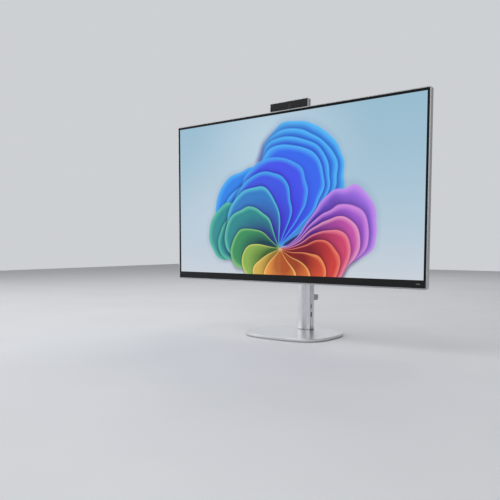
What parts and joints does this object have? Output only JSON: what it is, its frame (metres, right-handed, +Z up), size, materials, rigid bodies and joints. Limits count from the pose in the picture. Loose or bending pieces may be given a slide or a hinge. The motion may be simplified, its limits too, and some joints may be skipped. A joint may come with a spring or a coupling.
{
  "type": "all in one computer",
  "caption": "All in one desktop computer: slim wide display with a pop-up camera, tilting and sliding on a hollow column with ports and a cable clip, on a flat rounded base.",
  "frame": {"origin": "on the table, at the middle of the base", "axes": "+Z up, the screen faces -Y, +X to the right of someone looking at the screen"},
  "size_m": [0.713, 0.198, 0.5785],
  "materials": {
    "base_silver": "fine bead-blasted satin, anodised",
    "column_silver": "anodised satin extrusion",
    "frame_silver": "anodised satin, bright edges",
    "steel": "plain zinc-plated steel",
    "black_steel": "black powder coat",
    "foot_rubber": "matt black rubber",
    "rear_shell": "fine-grained moulded plastic, silver grey",
    "stand_plastic": "fine-grained moulded plastic, light grey",
    "dark_plastic": "fine-grained moulded plastic, dark grey",
    "chin_charcoal": "satin charcoal strip",
    "screen": "anti-glare screen surface",
    "guide_acrylic": "clear acrylic with white reflector film",
    "board_green": "solder mask",
    "chip_black": "moulded chip package",
    "copper": "plain copper",
    "fin_metal": "plain aluminium fins",
    "port_metal": "nickel plate",
    "camera_gloss": "tinted glossy window",
    "lens_glass": "coated lens"
  },
  "bodies": {
    "stand": {"base_plate": "base_silver", "base_weight": "steel", "base_feet": "foot_rubber", "base_screws": "steel", "column_shell": "column_silver", "column_cap": "stand_plastic", "column_foot": "steel", "lift_rail": "steel", "spring_bracket": "steel", "port_board": "board_green", "usb_c_port": "port_metal", "usb_a_port": "port_metal", "cable_clip": "stand_plastic"},
    "lift": {"lift_carriage": "fin_metal", "neck_arm": "column_silver"},
    "spring": {"spring_drum": "steel"},
    "head": {"hinge_pin": "steel", "hinge_washers": "steel", "tilt_bracket": "black_steel", "bracket_screws": "steel", "hinge_cover": "stand_plastic", "mid_frame": "frame_silver", "lcd_panel": "screen", "chin_strip": "chin_charcoal", "light_guide": "guide_acrylic", "led_strip": "board_green", "backlight_tray": "fin_metal", "rear_panel": "rear_shell", "hump_cover": "rear_shell", "cover_screws": "steel", "head_chassis": "steel", "board_standoffs": "steel", "mainboard": "board_green", "processor": "chip_black", "heat_spreader": "copper", "heat_pipe": "copper", "fin_stack": "fin_metal", "fan_housing": "dark_plastic", "solid_state_drive": "board_green", "memory_modules": "board_green", "wireless_card": "board_green", "speaker_left": "dark_plastic", "speaker_right": "dark_plastic", "button_switch": "dark_plastic", "rear_port_plate": "dark_plastic", "video_port": "port_metal", "network_port": "port_metal", "rear_usb_ports": "port_metal", "power_inlet": "dark_plastic", "camera_rails": "dark_plastic", "camera_latch": "dark_plastic"},
    "fan": {"fan_rotor": "dark_plastic"},
    "button": {"power_button": "frame_silver"},
    "camera": {"camera_housing": "frame_silver", "camera_window": "camera_gloss", "camera_lens": "lens_glass", "infrared_lamps": "chip_black", "camera_board": "board_green"}
  },
  "joints": [
    {"name": "lift", "type": "slide", "parent": "stand", "child": "lift", "axis": [0, 0, 1], "range_m": [-0.1, 0]},
    {"name": "drum_turn", "type": "hinge", "parent": "stand", "child": "spring", "pos_m": [0, 0.057, 0.392], "axis": [1, 0, 0], "range_deg": [0, 840]},
    {"name": "tilt", "type": "hinge", "parent": "lift", "child": "head", "pos_m": [0, 0.02, 0.35], "axis": [-1, 0, 0], "range_deg": [-5, 20]},
    {"name": "fan_spin", "type": "hinge", "parent": "head", "child": "fan", "pos_m": [0.115, -0.0213, 0.35], "axis": [0, 1, 0], "continuous": true},
    {"name": "power_press", "type": "slide", "parent": "head", "child": "button", "axis": [0, 0, 1], "range_m": [0, 0.0008], "stiffness_N_per_m": 600},
    {"name": "camera_slide", "type": "slide", "parent": "head", "child": "camera", "axis": [0, 0, 1], "range_m": [-0.0245, 0]}
  ],
  "couplings": [
    {"joint": "drum_turn", "follows": "lift", "rad_per_m": -142.86}
  ]
}
